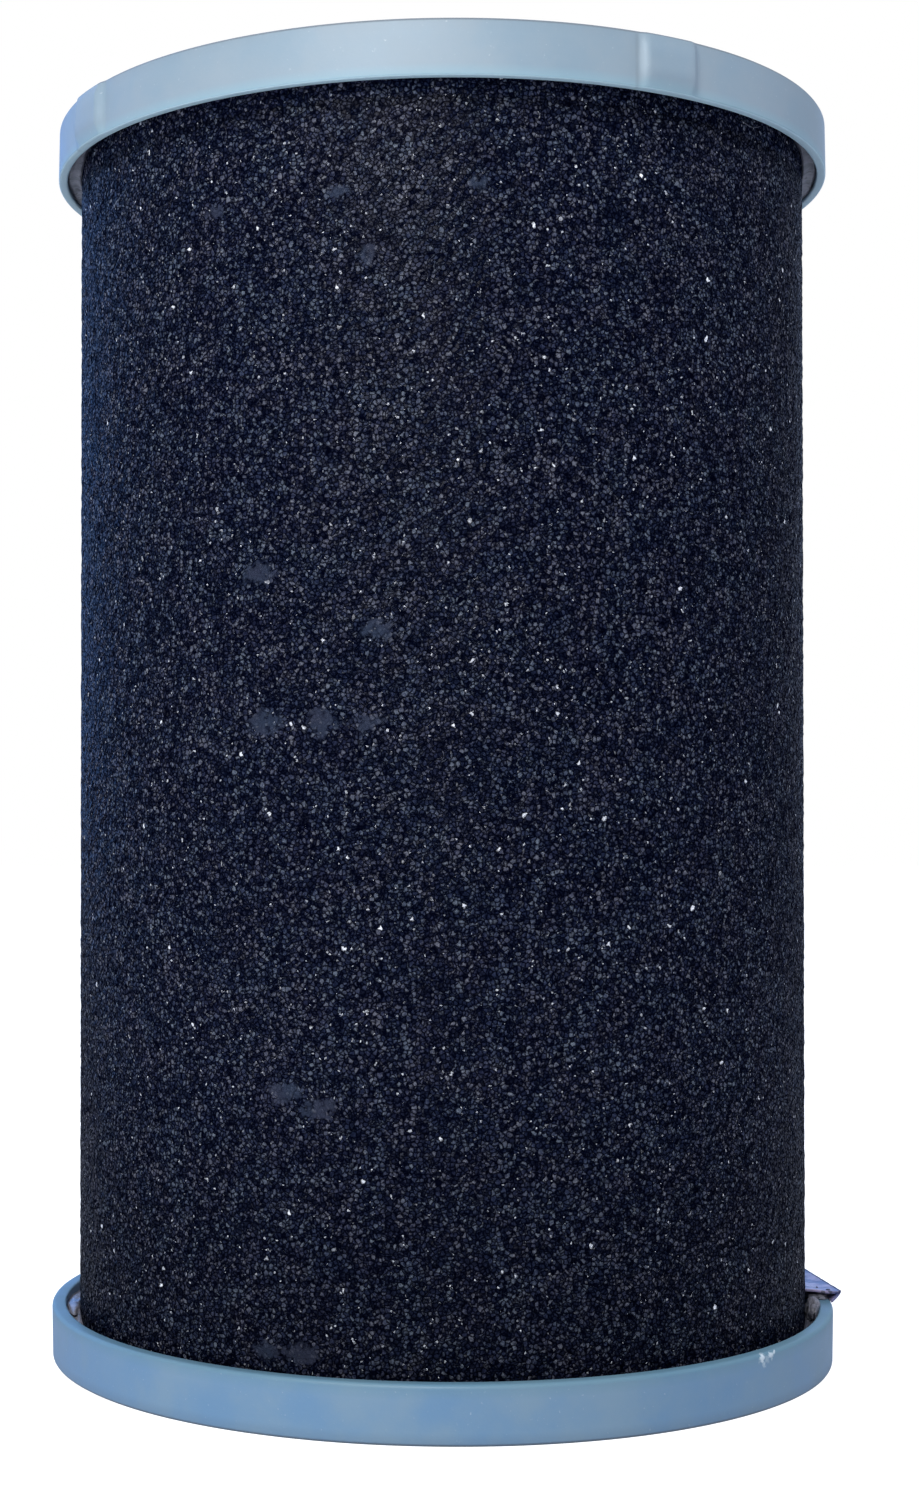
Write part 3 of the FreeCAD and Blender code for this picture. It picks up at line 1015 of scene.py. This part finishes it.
def addTube(form, places, radii, sides):
    # a round closed string through the places, level rings round a mostly level path
    last = len(places) - 1
    made = bmesh.ops.create_grid(form, x_segments=last, y_segments=sides, size=0.5)["verts"]
    for vert in made:
        number = round((vert.co.x + 0.5) * last)
        side = math.tau * (round((vert.co.y + 0.5) * sides) % sides) / sides
        along = (places[min(number + 1, last)] - places[max(number - 1, 0)]).normalized()
        across = along.cross(Vector((0, 0, 1))).normalized()
        upward = across.cross(along)
        spoke = across * math.cos(side) + upward * math.sin(side)
        vert.co = places[number] + spoke * radii[number]
    bmesh.ops.remove_doubles(form, verts=made, dist=0.001 * mm)
    bmesh.ops.holes_fill(form, edges=[edge for edge in form.edges if edge.is_boundary], sides=sides)


def makeGlueFlap(values):
    steps, rows = values["steps"], values["rows"]
    form = bmesh.new()
    bmesh.ops.create_grid(form, x_segments=steps, y_segments=rows, size=0.5)
    for vert in form.verts:
        share, row = (vert.co.x + 0.5) * steps, (vert.co.y + 0.5) * rows
        vert.co = flapPlace(values, round(share) / steps, round(row) / rows)
    bmesh.ops.reverse_faces(form, faces=form.faces[:])
    form.normal_update()
    bmesh.ops.solidify(form, geom=form.faces[:], thickness=values["thickness"])
    flapCount = len(form.verts)
    for speck in values["specks"]:
        addLump(form, *speck)
    brim = [flapPlace(values, i / steps, values["fold"]) + values["brimInset"] for i in range(1, steps)]
    addTube(form, brim, [values["brim"]] * len(brim), values["brimSides"])
    bmesh.ops.recalc_face_normals(form, faces=form.faces[:])
    piece = finishPiece("glueFlap", form)
    piece.data.materials.append(makeGlueMaterial("hotMeltFlash", values))
    # painted shade: the torn edge and the two specks are painted dark
    addMask(piece, "rim", np.arange(len(piece.data.vertices)) >= flapCount)
    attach(piece, "root")


makeGlueFlap(glueFlap)

# A thin string of hot melt that set on the carbon, just under the top rim
glueString = {
    "from": (46.8, 47.35, 151.67),
    "to": (52.0, 47.35, 151.95),
    "droop": 0.42 * mm,
    "radius": 0.06 * mm,
    "steps": 28,
    "sides": 8,
    "colour": (0.110, 0.115, 0.150),
    "deep": (0.060, 0.065, 0.090),
}


def makeGlueString(values):
    form = bmesh.new()
    (turn0, radius0, height0), (turn1, radius1, height1) = values["from"], values["to"]
    places, radii = [], []
    for i in range(values["steps"] + 1):
        share = i / values["steps"]
        sag = values["droop"] * math.sin(math.pi * share)
        turn = math.radians(turn0 + (turn1 - turn0) * share)
        height = (height0 + (height1 - height0) * share) * mm - sag
        places.append(turned(turn, (radius0 + (radius1 - radius0) * share) * mm, height))
        radii.append(values["radius"] * (0.35 + 0.65 * math.sin(math.pi * share) ** 0.5))
    addTube(form, places, radii, values["sides"])
    bmesh.ops.recalc_face_normals(form, faces=form.faces[:])
    piece = finishPiece("glueString", form)
    addMask(piece, "rim", np.zeros(len(piece.data.vertices)))
    piece.data.materials.append(makeGlueMaterial("hotMeltString", values))
    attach(piece, "root")


makeGlueString(glueString)
print("hot melt made")

# The outlet gasket
gasketRing = {
    "steps": 240,
    "edge": 0.35 * mm,
    "play": 0.15 * mm,
    "row": 1.0 * mm,
    "colour": (0.020, 0.020, 0.023),
    "worn": (0.045, 0.045, 0.050),
    "roughness": 0.55,
    "uneven": 0.15,
    "depth": 0.05 * mm,
}


def makeGasketMaterial(values):
    material, tree, shader, place = newMaterial("gasketRubber")
    fine = addNoise(tree, place, 900, 5).outputs["Fac"]
    share = ramp(tree, fine, 0.4, 0.65)
    rough = calc(tree, "MULTIPLY_ADD", share, values["uneven"], values["roughness"])
    link(tree, mixColour(tree, share, values["colour"], values["worn"]), shader.inputs["Base Color"])
    link(tree, rough, shader.inputs["Roughness"])
    addBump(tree, shader, fine, values["depth"])
    return material


def makeGasket(values):
    inner, outer = fit["spigotRadius"] + values["play"], gasketHigh.x
    low, high = gasketLow.z, gasketHigh.z
    profile = [(inner, low), (outer, low), (outer, high), (inner, high)]
    radii = {number: values["edge"] for number in range(4)}
    form = turnedForm(divided(rounded(profile, radii), values["row"]), values["steps"])
    piece = finishPiece("gasketRing", form)
    piece.data.materials.append(makeGasketMaterial(values))
    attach(piece, "root")
    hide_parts("outlet_gasket")


makeGasket(gasketRing)
print("gasket made")

# Floor, world and lamps
studio = {
    "floorSize": 3.0,
    "floorColour": (0.42, 0.44, 0.48),
    # the floor glows a little less right round the filter, a painted contact shadow; its weak glow to all
    # but the camera stands in for light bounced off the floor
    "contactShadowGlow": 0.90,
    "farGlow": 1.0,
    "bounceGlow": 0.14,
    "contactShadowReach": (0.08, 0.16),
    "frontColour": (0.80, 0.88, 1.0),
    "frontStrength": 0.36,
    "backColour": (0.19, 0.41, 1.0),
    "backStrength": 2.25,
    "backLean": 0.5,
    "backFade": (0.3, 1.1),
    "keySpot": (-0.11, -0.37, 0.33),
    "keyAim": (0.0, 0.0, 0.10),
    "keySize": 0.28,
    "keyPower": 2.45,
    "sideSpot": (0.37, 0.0, 0.31),
    "sideColour": (0.85, 0.88, 1.0),
    "sideSize": 0.25,
    "sidePower": 1.05,
    "lowSpot": (-0.24, -0.20, 0.02),
    "lowAim": (-0.03, 0.0, 0.0),
    "lowSize": 0.08,
    "lowPower": 0.25,
}


def makeFloor(values):
    form = bmesh.new()
    bmesh.ops.create_grid(form, x_segments=1, y_segments=1, size=values["floorSize"])
    piece = finishPiece("studioFloor", form)
    material, tree, shader, place = newMaterial("paleFloor")
    shader.inputs["Base Color"].default_value = (*values["floorColour"], 1)
    shader.inputs["Roughness"].default_value = 1.0
    shader.inputs["Specular IOR Level"].default_value = 0.0
    # painted contact shadow: less glow close to the filter; a weak glow to all but the camera stands in
    # for bounced light
    away = vectorMath(tree, "LENGTH", place)
    strength = ramp(tree, away, *values["contactShadowReach"], values["contactShadowGlow"], values["farGlow"])
    glow = addNode(tree, "ShaderNodeEmission")
    path = addNode(tree, "ShaderNodeLightPath")
    seen = calc(tree, "MAXIMUM", path.outputs["Is Camera Ray"], path.outputs["Is Transmission Ray"])
    bounceGlow = product(tree, calc(tree, "SUBTRACT", 1.0, seen), values["bounceGlow"])
    link(tree, calc(tree, "MULTIPLY_ADD", seen, strength, bounceGlow), glow.inputs["Strength"])
    both = addNode(tree, "ShaderNodeAddShader")
    link(tree, shader.outputs[0], both.inputs[0])
    link(tree, glow.outputs[0], both.inputs[1])
    link(tree, both.outputs[0], tree.nodes["Material Output"].inputs["Surface"])
    piece.data.materials.append(material)


def makeWorld(values):
    # seen as plain white; it lights the filter softly from the front and bluer from behind
    world = bpy.data.worlds.new("studioWorld")
    world.use_nodes = True
    tree = world.node_tree
    room = tree.nodes["Background"]
    coords = addNode(tree, "ShaderNodeTexCoord")
    split = addNode(tree, "ShaderNodeSeparateXYZ")
    link(tree, coords.outputs["Generated"], split.inputs[0])
    leaning = calc(tree, "MULTIPLY_ADD", split.outputs["X"], -values["backLean"], split.outputs["Y"])
    behind = ramp(tree, leaning, *values["backFade"])
    colour = mixColour(tree, behind, values["frontColour"], values["backColour"])
    link(tree, colour, room.inputs["Color"])
    low, high = values["frontStrength"], values["backStrength"]
    link(tree, calc(tree, "MULTIPLY_ADD", behind, high - low, low), room.inputs["Strength"])
    seen = addNode(tree, "ShaderNodeBackground")
    seen.inputs["Color"].default_value = (1, 1, 1, 1)
    path = addNode(tree, "ShaderNodeLightPath")
    rays = calc(tree, "MAXIMUM", path.outputs["Is Camera Ray"], path.outputs["Is Transmission Ray"])
    mix = addNode(tree, "ShaderNodeMixShader")
    link(tree, rays, mix.inputs[0])
    link(tree, room.outputs[0], mix.inputs[1])
    link(tree, seen.outputs[0], mix.inputs[2])
    link(tree, mix.outputs[0], tree.nodes["World Output"].inputs["Surface"])
    bpy.context.scene.world = world


def makeLamp(name, spot, aim, size, power, colour=(1, 1, 1)):
    light = bpy.data.lights.new(name, "AREA")
    light.shape = "DISK"
    light.size = size
    light.energy = power
    light.color = colour
    lamp = bpy.data.objects.new(name, light)
    lamp.location = spot
    lamp.rotation_euler = (Vector(aim) - Vector(spot)).to_track_quat("-Z", "Y").to_euler()
    bpy.context.scene.collection.objects.link(lamp)
    return lamp


makeFloor(studio)
makeWorld(studio)
makeLamp("keyLamp", studio["keySpot"], studio["keyAim"], studio["keySize"], studio["keyPower"])
sideLamp = makeLamp(
    "sideLamp", studio["sideSpot"], studio["keyAim"], studio["sideSize"], studio["sidePower"],
    studio["sideColour"],
)
lowLamp = makeLamp("lowLamp", studio["lowSpot"], studio["lowAim"], studio["lowSize"], studio["lowPower"])
# the carbon's seal mirrors neither of the two weak lamps
sideLamp.visible_glossy = False
lowLamp.visible_glossy = False
bpy.context.scene.view_settings.view_transform = "Standard"
print("studio made")
